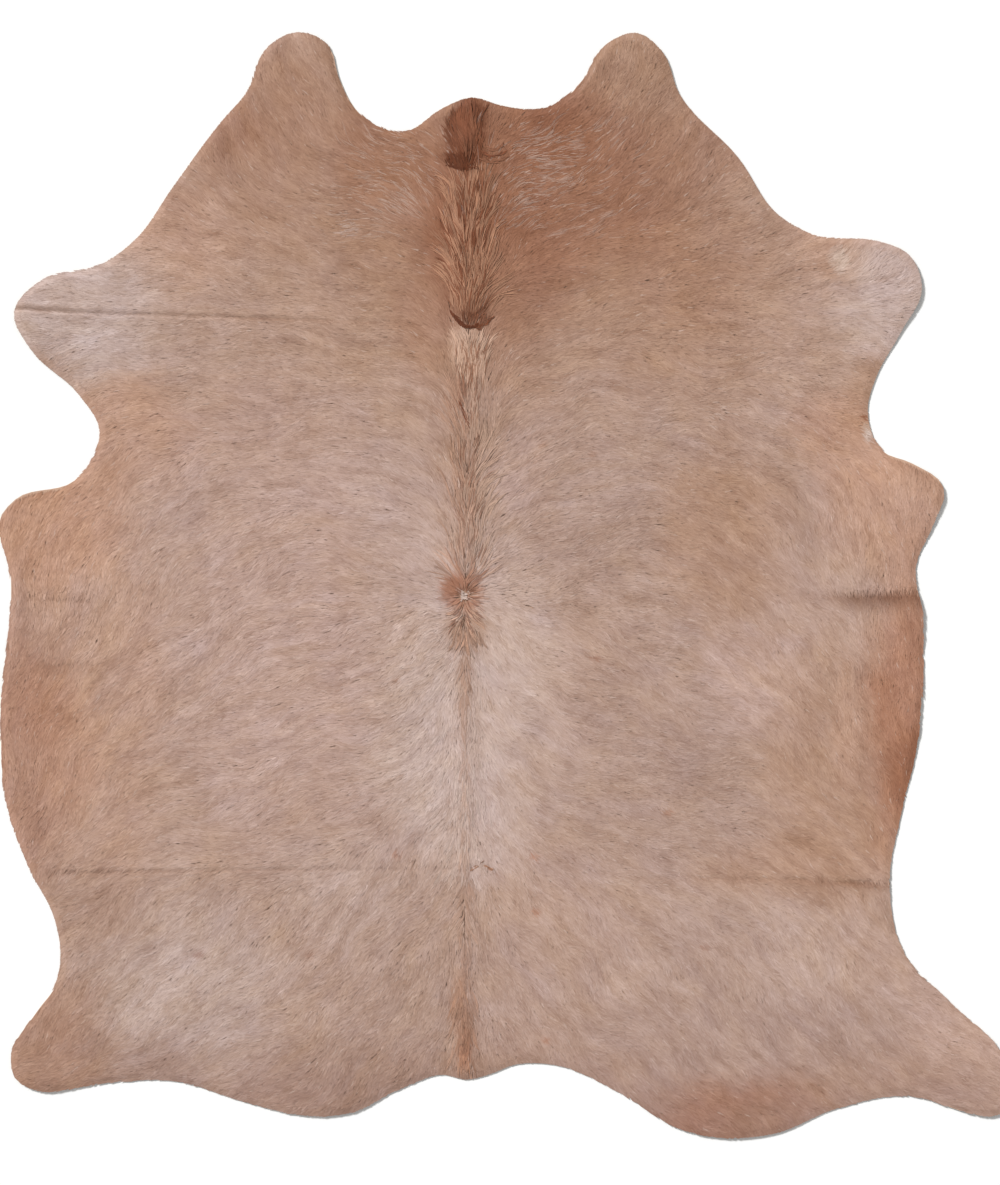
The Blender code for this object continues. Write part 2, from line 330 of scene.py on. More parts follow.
# Backbone: section, x, y, extra depth of the coat, reach to each side
SPINE = (
    ("nape edge", -0.070, 0.970, 0.0010, 0.034),
    ("nape tuft", -0.074, 0.885, 0.0034, 0.040),
    ("nape fold", -0.078, 0.828, 0.0008, 0.042),
    ("withers mane", -0.080, 0.700, 0.0028, 0.056),
    ("mane curl", -0.076, 0.560, 0.0036, 0.054),
    ("below the curl", -0.074, 0.492, 0.0012, 0.046),
    ("back ridge", -0.076, 0.300, 0.0020, 0.052),
    ("before the whorl", -0.080, 0.060, 0.0022, 0.050),
    ("whorl", -0.083, -0.022, 0.0010, 0.054),
    ("behind the whorl", -0.083, -0.090, 0.0018, 0.044),
    ("loin", -0.082, -0.300, 0.0008, 0.040),
    ("croup", -0.083, -0.720, 0.0006, 0.030),
    ("tail head", -0.084, -0.880, 0.0018, 0.026),
    ("tail stub", -0.082, -0.986, 0.0018, 0.020),
)

# Lie of the hair, in degrees up from straight out to the side: place, y, then at each LIE_REACH from the
# backbone
LIE_REACH = (0.00, 0.03, 0.06, 0.14, 0.28, 0.55, 0.90)
LIE = (
    ("neck lobes", 1.05, (90, 86, 78, 66, 60, 64, 66)),
    ("nape", 0.85, (90, 77, 55, 22, 32, 56, 74)),
    ("withers", 0.65, (88, 74, 46, 10, 8, 10, 26)),
    ("shoulders", 0.45, (88, 80, 50, 12, 2, -5, -14)),
    ("ribs", 0.20, (86, 78, 54, 20, 4, -24, -72)),
    ("before the whorl", 0.03, (80, 64, 45, 14, -4, -44, -84)),
    ("behind the whorl", -0.10, (-86, -66, -45, -25, -12, -40, -84)),
    ("loin", -0.35, (-88, -76, -62, -38, -16, -16, -80)),
    ("flank folds", -0.50, (-88, -76, -62, -38, -18, -16, -64)),
    ("haunches", -0.65, (-88, -78, -66, -52, -45, -46, -52)),
    ("hind legs", -0.85, (-88, -79, -68, -54, -47, -42, -40)),
    ("rump", -1.05, (-88, -81, -72, -58, -44, -28, -24)),
)

# Waves in the lie of the hair, and drifts of the patches: how much, how wide, seed
LIE_WAVES = ((0.26, 0.110, 11), (0.30, 0.045, 12), (0.16, 0.016, 13))
DRIFT_X = ((0.022, 0.090, 21), (0.007, 0.024, 22))
DRIFT_Y = ((0.022, 0.090, 23), (0.007, 0.024, 24))

# Locks of hair drawn out along its lie: width, length, seed
FINE_LOCKS = (0.004, 0.036, 31)
BROAD_LOCKS = (0.011, 0.100, 32)
WARM_LOCKS = (0.014, 0.120, 33)

# How a hair's own tone and warmth vary: blotches as above, then by lock, and hair by hair
TONE_BLOTCHES = ((0.045, 0.050, 41), (0.040, 0.022, 42), (0.050, 0.011, 45))
TONE_BY_FINE_LOCK = 0.043
TONE_BY_BROAD_LOCK = 0.032
TONE_BY_HAIR = 0.056
TONE_AT_RIM = 0.10
TONE_RIM_REACH = 0.010
WARM_BLOTCHES = ((0.030, 0.056, 43), (0.020, 0.026, 44))
WARM_BY_LOCK = 0.012
RED_SHARE = 0.3
GREY_STRENGTH = 0.40

# Patches with a reach below this one drift less, in proportion
DRIFTING_PATCH = 0.10

# Hair colours, from bleached to dark
HAIR_COLOURS = {
    "ivory": "#CEB8AC",
    "lilac": "#C3AA9F",
    "pale grey": "#BFA69B",
    "rose": "#BD9E91",
    "cream": "#CBA790",
    "champagne": "#B69787",
    "honey": "#BD9680",
    "apricot": "#C29479",
    "gold": "#B6886C",
    "ash": "#AB8E81",
    "mauve": "#9E7E70",
    "sand": "#AB866F",
    "tan": "#A37961",
    "rust": "#A97357",
    "fox": "#936147",
    "bark": "#7E4A31",
    "umber": "#63331B",
}
COAT_COLOUR = "champagne"

# Patches of the coat, each laid over those before it: name, x, y, reach x, reach y, hair, strength
PATCHES = (
    ("neck and withers", 0.000, 0.760, 0.760, 0.600, "sand", 0.80),
    ("neck", 0.000, 0.860, 0.520, 0.420, "tan", 0.70),
    ("right withers", 0.380, 0.560, 0.320, 0.300, "sand", 0.55),
    ("right withers, warm", 0.370, 0.650, 0.180, 0.200, "tan", 0.42),
    ("right shoulder blade", 0.350, 0.420, 0.200, 0.140, "sand", 0.35),
    ("right neck", 0.100, 0.780, 0.360, 0.260, "fox", 0.60),
    ("beside the mane", -0.050, 0.680, 0.200, 0.420, "fox", 0.50),
    ("right nape", 0.080, 0.900, 0.150, 0.130, "fox", 0.60),
    ("right nape, dark", 0.076, 0.920, 0.060, 0.050, "bark", 0.35),
    ("left cheek", -0.480, 0.930, 0.200, 0.260, "tan", 0.60),
    ("left cheek edge", -0.550, 0.880, 0.110, 0.090, "fox", 0.30),
    ("right neck lobe", 0.270, 1.030, 0.160, 0.160, "sand", 0.60),
    ("right cheek edge", 0.440, 0.880, 0.130, 0.120, "tan", 0.55),
    ("left neck", -0.240, 0.860, 0.140, 0.160, "fox", 0.40),
    ("left shoulder", -0.660, 0.680, 0.200, 0.160, "honey", 0.70),
    ("left cheek, low", -0.620, 0.810, 0.140, 0.100, "tan", 0.35),
    ("left shoulder blade", -0.500, 0.320, 0.220, 0.140, "tan", 0.30),
    ("left of the withers", -0.470, 0.710, 0.130, 0.100, "tan", 0.28),
    ("right shoulder", 0.640, 0.680, 0.140, 0.120, "honey", 0.60),
    ("left foreleg, upper", -0.860, 0.600, 0.280, 0.130, "lilac", 1.00),
    ("left foreleg, lower", -0.880, 0.500, 0.280, 0.150, "lilac", 1.00),
    ("right foreleg", 0.800, 0.560, 0.220, 0.200, "lilac", 0.90),
    ("left foreleg, low edge", -0.900, 0.440, 0.090, 0.060, "sand", 0.55),
    ("right foreleg, pale", 0.648, 0.644, 0.032, 0.036, "ivory", 0.70),
    ("right foreleg, shade", 0.650, 0.596, 0.080, 0.016, "ash", 0.60),
    ("right armpit, shade", 0.730, 0.410, 0.110, 0.080, "sand", 0.85),
    ("right armpit, warm", 0.630, 0.340, 0.130, 0.090, "tan", 0.40),
    ("right notch", 0.730, 0.330, 0.070, 0.060, "tan", 0.35),
    ("left armpit", -0.740, 0.300, 0.200, 0.160, "apricot", 0.50),
    ("left elbow", -0.900, 0.140, 0.260, 0.200, "apricot", 0.80),
    ("right armpit", 0.680, 0.290, 0.180, 0.120, "apricot", 0.38),
    ("right elbow", 0.780, 0.180, 0.220, 0.180, "apricot", 0.50),
    ("left ribs", -0.440, -0.060, 0.460, 0.640, "rose", 0.85),
    ("left flank", -0.780, -0.240, 0.160, 0.500, "honey", 0.60),
    ("left belly", -0.980, -0.320, 0.180, 0.480, "rust", 0.46),
    ("left belly, dark", -0.930, -0.220, 0.110, 0.110, "rust", 0.30),
    # A painted highlight: the paler honey patch on the lit lower lip of the left belly fold
    ("left belly, pale", -0.890, -0.060, 0.080, 0.090, "honey", 0.60),
    ("left belly, warm", -0.860, -0.300, 0.100, 0.240, "apricot", 0.35),
    ("right ribs", 0.300, 0.100, 0.460, 0.480, "ash", 0.45),
    ("right ribs, dark", 0.420, 0.120, 0.200, 0.260, "sand", 0.75),
    ("right loin", 0.280, -0.420, 0.300, 0.380, "ash", 0.70),
    ("right side, pale", 0.490, -0.170, 0.150, 0.160, "rose", 0.70),
    ("right flank", 0.640, -0.380, 0.180, 0.360, "sand", 0.65),
    ("right flank, low", 0.740, -0.480, 0.090, 0.100, "sand", 0.50),
    ("right belly", 0.830, -0.260, 0.170, 0.480, "rust", 0.72),
    ("right belly, dark", 0.820, -0.360, 0.110, 0.180, "fox", 0.82),
    ("right belly, streak", 0.745, -0.220, 0.030, 0.090, "fox", 0.35),
    ("right belly, pale streak", 0.670, -0.270, 0.036, 0.190, "honey", 0.45),
    ("centre back", -0.080, -0.260, 0.260, 0.440, "lilac", 0.80),
    ("centre back, left", -0.150, -0.300, 0.080, 0.260, "lilac", 0.50),
    ("centre back, right", 0.010, -0.140, 0.090, 0.160, "lilac", 0.45),
    ("centre back, low", -0.050, -0.450, 0.120, 0.160, "lilac", 0.45),
    ("beside the ridge", 0.020, 0.210, 0.090, 0.140, "rose", 0.60),
    ("upper back, left", -0.200, 0.120, 0.120, 0.240, "pale grey", 0.25),
    ("left loin", -0.310, -0.600, 0.180, 0.180, "pale grey", 0.35),
    ("beside the loin, right", 0.040, -0.380, 0.070, 0.260, "ash", 0.28),
    ("left low flank", -0.800, -0.640, 0.200, 0.130, "sand", 0.30),
    ("right low flank", 0.560, -0.560, 0.280, 0.120, "sand", 0.65),
    ("left haunch", -0.620, -0.800, 0.280, 0.240, "pale grey", 0.80),
    ("middle haunches", -0.060, -0.780, 0.440, 0.180, "ash", 0.40),
    ("right haunch", 0.460, -0.760, 0.320, 0.200, "pale grey", 0.40),
    ("left hind leg", -0.920, -0.960, 0.220, 0.200, "tan", 0.65),
    ("left haunch, low", -0.720, -0.960, 0.160, 0.120, "mauve", 0.50),
    ("left stifle", -0.870, -0.820, 0.110, 0.100, "tan", 0.40),
    ("rump", -0.100, -1.070, 1.000, 0.230, "mauve", 0.75),
    ("right rump", 0.470, -1.080, 0.260, 0.160, "fox", 0.60),
    ("right haunch, dark", 0.420, -0.880, 0.440, 0.150, "ash", 0.85),
    ("right haunch, upper", 0.390, -0.710, 0.170, 0.110, "ash", 0.60),
    ("right stifle", 0.690, -0.880, 0.160, 0.100, "ash", 0.60),
    ("right rump, edge", 0.540, -1.080, 0.200, 0.080, "mauve", 0.55),
    ("right hind leg", 0.930, -0.860, 0.180, 0.120, "rose", 0.50),
    ("right hind leg, low", 0.820, -1.000, 0.260, 0.140, "mauve", 0.50),
    ("back ridge", -0.088, 0.240, 0.060, 0.360, "sand", 0.30),
    ("left of the curl", -0.150, 0.500, 0.080, 0.160, "tan", 0.50),
    ("below the curl", -0.070, 0.450, 0.046, 0.080, "cream", 0.80),
    ("mane", -0.082, 0.690, 0.080, 0.230, "fox", 0.80),
    # The dark mane patch and the mane curl patch are painted shade: the coat darkened in the gaps under the
    # mane's wisps and in its curl
    ("mane, dark", -0.072, 0.700, 0.044, 0.170, "bark", 0.70),
    ("mane curl", -0.070, 0.532, 0.036, 0.024, "umber", 0.50),
    ("nape tuft", -0.073, 0.900, 0.047, 0.110, "bark", 0.90),
    ("nape tuft, left side", -0.100, 0.890, 0.016, 0.080, "umber", 0.45),
    ("nape tuft, right side", -0.054, 0.915, 0.016, 0.050, "umber", 0.45),
    ("nape tuft, foot", -0.084, 0.842, 0.060, 0.022, "umber", 0.60),
    ("whorl", -0.084, -0.016, 0.037, 0.037, "rust", 0.80),
    ("whorl, dark", -0.094, -0.010, 0.024, 0.022, "fox", 0.40),
    ("whorl eye", -0.083, -0.022, 0.007, 0.007, "lilac", 1.00),
    ("below the whorl", -0.084, -0.080, 0.045, 0.045, "sand", 0.55),
    ("loin line", -0.082, -0.200, 0.016, 0.180, "sand", 0.45),
    ("tail streak", -0.088, -0.860, 0.030, 0.160, "tan", 0.65),
    ("tail streak, red", -0.086, -0.910, 0.018, 0.060, "rust", 0.55),
    ("right notch, bare", 0.712, 0.312, 0.016, 0.024, "ivory", 0.90),
    ("right notch, red", 0.706, 0.340, 0.014, 0.007, "fox", 0.90),
    ("left rib spot", -0.206, -0.182, 0.012, 0.009, "fox", 0.45),
    ("left loin spot", -0.212, -0.524, 0.012, 0.010, "rust", 0.55),
    ("loin spot", 0.046, -0.530, 0.012, 0.010, "rust", 0.55),
    ("croup spot", 0.048, -0.642, 0.010, 0.012, "rust", 0.55),
    ("rump spot", 0.066, -0.898, 0.012, 0.010, "rust", 0.55),
    ("shoulder spot", 0.058, 0.270, 0.012, 0.010, "tan", 0.55),
    ("rib spot", 0.158, 0.260, 0.012, 0.010, "tan", 0.55),
    ("right rib spot, dark", 0.164, -0.140, 0.014, 0.010, "fox", 0.45),
    ("right loin spot", 0.308, -0.446, 0.014, 0.010, "fox", 0.45),
    ("right haunch spot", 0.384, -0.714, 0.014, 0.010, "fox", 0.40),
    ("left haunch spot", -0.600, -0.726, 0.016, 0.012, "fox", 0.40),
    ("left croup spot", -0.380, -0.730, 0.014, 0.010, "fox", 0.40),
)

# Pale single hairs: name, x, y, reach x, reach y, share of the hairs
GREY_HAIRS = (
    ("all over", 0.000, 0.000, 3.000, 3.000, 0.012),
    ("nape left", -0.190, 0.830, 0.180, 0.120, 0.060),
    ("nape right", 0.080, 0.830, 0.220, 0.140, 0.060),
    ("left cheek", -0.300, 0.740, 0.120, 0.100, 0.080),
    ("left cheek spot", -0.302, 0.714, 0.030, 0.024, 0.500),
    ("right rib spot", 0.410, 0.345, 0.050, 0.040, 0.200),
)

# Pieces of the coat: name, lowest y, highest y, lowest x, highest x, with the backbone at -0.08
COAT_PIECES = (
    ("coat_neck", 0.62, 2.0, -2.0, 2.0),
    ("coat_left_shoulder", 0.10, 0.62, -2.0, -0.08),
    ("coat_right_shoulder", 0.10, 0.62, -0.08, 2.0),
    ("coat_left_belly", -0.48, 0.10, -2.0, -0.08),
    ("coat_right_belly", -0.48, 0.10, -0.08, 2.0),
    ("coat_left_haunch", -2.0, -0.48, -2.0, -0.08),
    ("coat_right_haunch", -2.0, -0.48, -0.08, 2.0),
)

grid_left = cad_low.x - GRID_MARGIN
grid_bottom = cad_low.y - GRID_MARGIN
grid_columns = math.ceil((cad_high.x - cad_low.x + 2 * GRID_MARGIN) / GRID_STEP)
grid_rows = math.ceil((cad_high.y - cad_low.y + 2 * GRID_MARGIN) / GRID_STEP)
grid_x, grid_y = np.meshgrid(
    grid_left + GRID_STEP * np.arange(grid_columns),
    grid_bottom + GRID_STEP * np.arange(grid_rows),
)


def sample(grid, x, y):
    """The grid's value at each place, blended from the four cells round it."""
    u = np.clip((x - grid_left) / GRID_STEP, 0.0, grid.shape[1] - 1.001)
    v = np.clip((y - grid_bottom) / GRID_STEP, 0.0, grid.shape[0] - 1.001)
    column = u.astype(int)
    row = v.astype(int)
    u -= column
    v -= row
    lower = grid[row, column] * (1.0 - u) + grid[row, column + 1] * u
    upper = grid[row + 1, column] * (1.0 - u) + grid[row + 1, column + 1] * u
    return lower * (1.0 - v) + upper * v


def ground_and_edge():
    """Grids of the skin's underside and of the distance inside the cut edge, less than 0 outside."""
    tree = KDTree(len(rim))
    for index, point in enumerate(rim):
        tree.insert((point.x, point.y, 0.0), index)
    tree.balance()
    ground = np.empty(grid_x.size)
    inside = np.empty(grid_x.size)
    down = Vector((0.0, 0.0, -1.0))
    for index, (x, y) in enumerate(zip(grid_x.ravel().tolist(), grid_y.ravel().tolist())):
        hit, *_ = underside.ray_cast(Vector((x, y, 1.0)), down)
        _, nearest, distance = tree.find((x, y, 0.0))
        ground[index] = hit.z if hit else rim[nearest].z
        inside[index] = distance if hit else -distance
    return ground.reshape(grid_x.shape), inside.reshape(grid_x.shape)


def waves(x, y, layers):
    """The sum of layers of mottle, each given by how much, how wide and seed."""
    return sum(share * mottle(x, y, size, seed) for share, size, seed in layers)


def backbone(y):
    """The backbone's x, the extra depth of coat there and its reach, at each y."""
    ys = [row[2] for row in SPINE][::-1]
    return [np.interp(y, ys, [row[column] for row in SPINE][::-1]) for column in (1, 3, 4)]


def lie_of_the_coat(x, y):
    """The direction that the hair lies in, as a unit vector on the floor."""
    centre, _, _ = backbone(y)
    out = x - centre
    side = np.where(out < 0.0, -1.0, 1.0)
    ys = [row[1] for row in LIE][::-1]
    columns = [np.interp(y, ys, [row[2][i] for row in LIE][::-1]) for i in range(len(LIE_REACH))]
    degrees = columns[-1].copy()
    for i in range(len(LIE_REACH) - 1):
        share = (np.abs(out) - LIE_REACH[i]) / (LIE_REACH[i + 1] - LIE_REACH[i])
        here = (share >= 0.0) & (share < 1.0)
        blended = columns[i] + (columns[i + 1] - columns[i]) * share
        degrees = np.where(here, blended, degrees)
    angle = np.radians(degrees)
    angle += waves(x, y, LIE_WAVES)
    lie_x = side * np.cos(angle)
    lie_y = np.sin(angle)
    from_whorl = np.hypot(x - WHORL[0], y - WHORL[1]) + 1e-6
    turned = soft(from_whorl / WHORL_REACH)
    lie_x = lie_x * (1.0 - turned) + turned * (x - WHORL[0]) / from_whorl
    lie_y = lie_y * (1.0 - turned) + turned * (y - WHORL[1]) / from_whorl
    length = np.hypot(lie_x, lie_y) + 1e-9
    return lie_x / length, lie_y / length


def streaks(grain, reach, seed):
    """Noise drawn out along the lie of the hair into locks about grain wide and reach long."""
    steps = round(reach / GRID_STEP / 2)
    total = mottle(grid_x, grid_y, grain, seed)
    for way in (1.0, -1.0):
        x = grid_x.copy()
        y = grid_y.copy()
        for _ in range(steps):
            along_x = sample(lie_x, x, y)
            along_y = sample(lie_y, x, y)
            x += way * GRID_STEP * along_x
            y += way * GRID_STEP * along_y
            total += mottle(x, y, grain, seed)
    return total / total[inside > 0.0].std()


def coat_colour(x, y):
    """The colour of the hair that grows here, in linear red, green and blue."""
    palette = {name: np.array(srgb(code)) for name, code in HAIR_COLOURS.items()}
    colour = np.repeat(palette[COAT_COLOUR][None, :], x.size, axis=0)
    drift_x = x + waves(x, y, DRIFT_X)
    drift_y = y + waves(x, y, DRIFT_Y)
    for _, centre_x, centre_y, reach_x, reach_y, hair, strength in PATCHES:
        size = min(1.0, min(reach_x, reach_y) / DRIFTING_PATCH)
        here_x = x + (drift_x - x) * size
        here_y = y + (drift_y - y) * size
        distance = np.hypot((here_x - centre_x) / reach_x, (here_y - centre_y) / reach_y)
        weight = strength * soft((np.maximum(distance, PATCH_CORE) - PATCH_CORE) / (1.0 - PATCH_CORE))
        colour += (palette[hair] - colour) * weight[:, None]
    return colour


def grey_share(x, y):
    """The share of pale hairs in the coat here."""
    share = np.zeros_like(x)
    for _, centre_x, centre_y, reach_x, reach_y, most in GREY_HAIRS:
        near = soft(np.hypot((x - centre_x) / reach_x, (y - centre_y) / reach_y))
        share = np.maximum(share, most * near)
    return share


def hair_material():
    """Cattle hair with its natural grease: a half gloss along the hair, and a soft sheen over all."""
    material = bpy.data.materials.new("lying cattle hair")
    material.use_nodes = True
    tree = material.node_tree
    shader = tree.nodes["Principled BSDF"]
    tint = add_node(tree, "ShaderNodeAttribute", {"attribute_name": "hair_colour_and_shade"})
    place = add_node(tree, "ShaderNodeTexCoord")
    # Fine breaks in each wisp, 1.5 mm across
    wisps = add_node(tree, "ShaderNodeTexNoise", values={"Scale": 650.0, "Detail": 2.0},
                     links={"Vector": (place, "Object")})
    value = add_node(tree, "ShaderNodeMapRange", values={"To Min": 0.90, "To Max": 1.10},
                     links={"Value": (wisps, "Fac")})
    colour = add_node(tree, "ShaderNodeVectorMath", {"operation": "SCALE"},
                      links={0: (tint, "Color"), "Scale": (value, "Result")})
    gloss = add_node(tree, "ShaderNodeMapRange", values={"To Min": 0.50, "To Max": 0.66},
                     links={"Value": (wisps, "Fac")})
    tree.links.new(colour.outputs["Vector"], shader.inputs["Base Color"])
    tree.links.new(gloss.outputs["Result"], shader.inputs["Roughness"])
    shader.inputs["Specular IOR Level"].default_value = 0.22
    shader.inputs["Sheen Weight"].default_value = 0.04
    shader.inputs["Sheen Roughness"].default_value = 0.4
    return material


def grow(name, x, y, length, width, rows, turn, curl, rise, colour, heading=None):
    """Joins one blade for each root into one mesh: pointed root and tip, and rows of two points between.
    The blades follow the lie of the coat, or their own heading, overlap like tiles and stop at the rim."""
    count = x.size
    chance = np.random.default_rng(count + rows)
    roll = HAIR_ROLL * chance.standard_normal(count)
    lift = chance.uniform(*HAIR_LIFT, count)

    def step_from(at_x, at_y, row):
        """The blade's own direction here: the lie of the coat, turned by its stray and its curl."""
        along_x, along_y = heading or (sample(lie_x, at_x, at_y), sample(lie_y, at_x, at_y))
        angle = turn + curl * row / rows
        cos, sin = np.cos(angle), np.sin(angle)
        return along_x * cos - along_y * sin, along_x * sin + along_y * cos

    for _ in range(3):
        tip_x, tip_y = x.copy(), y.copy()
        for row in range(rows + 1):
            step_x, step_y = step_from(tip_x, tip_y, row)
            tip_x += length / (rows + 1) * step_x
            tip_y += length / (rows + 1) * step_y
        past = np.maximum(0.0, -sample(inside, tip_x, tip_y) - OVERHANG)
        length = length * np.clip(1.0 - past / length, LEAST_HAIR, 1.0)
    points = np.empty((count, 2 * rows + 2, 3))
    shade = np.empty((count, 2 * rows + 2))
    at_x, at_y = x.copy(), y.copy()
    for row in range(rows + 2):
        share = row / (rows + 1)
        skin = sample(ground, at_x, at_y) + SKIN_DEPTH
        depth = np.maximum(LEAST_COAT, sample(coat_top, at_x, at_y) - skin)
        swell = HAIR_ROOT_HEIGHT + (1.0 - HAIR_ROOT_HEIGHT) * share ** HAIR_SWELL
        height = skin + (depth + rise) * lift * swell
        step_x, step_y = step_from(at_x, at_y, min(row, rows))
        # Painted shade in the hair's colour: darker toward the root and in a fold mark's shade, lighter
        # toward the tip
        light = HAIR_ROOT_SHADE + (HAIR_TIP_LIGHT - HAIR_ROOT_SHADE) * share
        light = light * (1.0 - FOLD_DARKNESS * sample(fold_shade, at_x, at_y))
        if row in (0, rows + 1):
            corner = 0 if row == 0 else 2 * rows + 1
            points[:, corner] = np.stack((at_x, at_y, height), axis=1)
            shade[:, corner] = light
        else:
            half = width / 2 * math.sin(math.pi * (HAIR_SHAPE[0] + (HAIR_SHAPE[1] - HAIR_SHAPE[0]) * share))
            slope = -step_y * sample(slope_x, at_x, at_y) + step_x * sample(slope_y, at_x, at_y)
            tilt = half * (slope + roll)
            left, right = 2 * row - 1, 2 * row
            points[:, left] = np.stack((at_x - step_y * half, at_y + step_x * half, height + tilt), axis=1)
            points[:, right] = np.stack((at_x + step_y * half, at_y - step_x * half, height - tilt), axis=1)
            shade[:, left] = light
            shade[:, right] = light
        at_x += length / (rows + 1) * step_x
        at_y += length / (rows + 1) * step_y
    corners = [(0, 2, 1)]
    for row in range(1, rows):
        left, right = 2 * row - 1, 2 * row
        corners += [(left, right, left + 2), (right, right + 2, left + 2)]
    corners.append((2 * rows - 1, 2 * rows, 2 * rows + 1))
    first = (2 * rows + 2) * np.arange(count)
    faces = (first[:, None, None] + np.array(corners)[None, :, :]).reshape(-1, 3)
    points = points.reshape(-1, 3)
    points[:, 2] = np.maximum(points[:, 2], FLOOR_GAP)

    mesh = bpy.data.meshes.new(name)
    mesh.from_pydata(points.tolist(), [], faces.tolist())
    tint = np.ones((count, 2 * rows + 2, 4))
    tint[:, :, :3] = colour[:, None, :] * shade[:, :, None] ** np.array(DARK_IS_WARM)
    mesh.color_attributes.new("hair_colour_and_shade", "FLOAT_COLOR", "POINT").data.foreach_set("color", tint.ravel())
    low = points.min(axis=0)
    span = points.max(axis=0) - low
    flat = (points[faces.ravel()] - low) / span
    mesh.uv_layers.new(name="OFBake").data.foreach_set("uv", flat[:, :2].ravel())
    mesh.materials.append(lying_hair)
    piece = bpy.data.objects.new(name, mesh)
    bpy.context.scene.collection.objects.link(piece)
    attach(piece, "root")
    return piece


ground, inside = ground_and_edge()
lie_x, lie_y = lie_of_the_coat(grid_x, grid_y)
centre, extra, reach = backbone(grid_y)
trough, fold_shade = fold_marks_at(grid_x, grid_y)
near_rim = soft(np.clip(inside, 0.0, RIM_REACH) / RIM_REACH)
depth = COAT_DEPTH + (COAT_AT_RIM - COAT_DEPTH) * near_rim
depth += extra * soft((grid_x - centre) / reach) * (1.0 - near_rim)
depth *= 1.0 - COAT_PRESSED * trough
coat_top = ground + SKIN_DEPTH + depth
slope_y, slope_x = np.gradient(coat_top, GRID_STEP)
fine_streaks = streaks(*FINE_LOCKS)
broad_streaks = streaks(*BROAD_LOCKS)
warm_streaks = streaks(*WARM_LOCKS)
lying_hair = hair_material()


def root_colour(x, y, chance):
    """Each hair's own colour: the patch it grows in, its lock's tone, and a few pale hairs."""
    colour = coat_colour(x, y)
    fine = TONE_BY_FINE_LOCK * sample(fine_streaks, x, y)
    broad = TONE_BY_BROAD_LOCK * sample(broad_streaks, x, y)
    value = 1.0 + waves(x, y, TONE_BLOTCHES) + fine + broad + TONE_BY_HAIR * chance.standard_normal(x.size)
    value *= 1.0 - TONE_AT_RIM * soft(sample(inside, x, y) / TONE_RIM_REACH)
    warm = WARM_BY_LOCK * sample(warm_streaks, x, y) + waves(x, y, WARM_BLOTCHES)
    colour = colour * value[:, None] ** np.array(DARK_IS_WARM)
    colour = colour * np.stack((1.0 + RED_SHARE * warm, np.ones_like(warm), 1.0 - warm), axis=1)
    grey = chance.random(x.size) < grey_share(x, y)
    colour[grey] += GREY_STRENGTH * (np.array(srgb(HAIR_COLOURS["ivory"])) - colour[grey])
    return colour


chance = np.random.default_rng(7)
columns = int((cad_high.x - cad_low.x) / HAIR_SPACING)
rows = int((cad_high.y - cad_low.y) / HAIR_SPACING)
root_x, root_y = np.meshgrid(np.arange(columns), np.arange(rows))
root_x = cad_low.x + HAIR_SPACING * (root_x.ravel() + chance.random(root_x.size))
root_y = cad_low.y + HAIR_SPACING * (root_y.ravel() + chance.random(root_y.size))
on_skin = sample(inside, root_x, root_y) > ROOT_INSET
root_x = root_x[on_skin]
root_y = root_y[on_skin]
root_tint = root_colour(root_x, root_y, chance)
in_eye = np.hypot(root_x - WHORL[0], root_y - WHORL[1]) < WHORL_EYE
for name, low_y, high_y, low_x, high_x in COAT_PIECES:
    here = (root_y > low_y) & (root_y <= high_y) & (root_x > low_x) & (root_x <= high_x)
    count = int(here.sum())
    grow(
        name, root_x[here], root_y[here],
        length=chance.uniform(*HAIR_LENGTH, count) * np.where(in_eye[here], WHORL_EYE_HAIR, 1.0),
        width=chance.uniform(*HAIR_WIDTH, count),
        rows=1, turn=HAIR_STRAY * chance.standard_normal(count),
        curl=HAIR_CURL * chance.standard_normal(count), rise=0.0, colour=root_tint[here],
    )
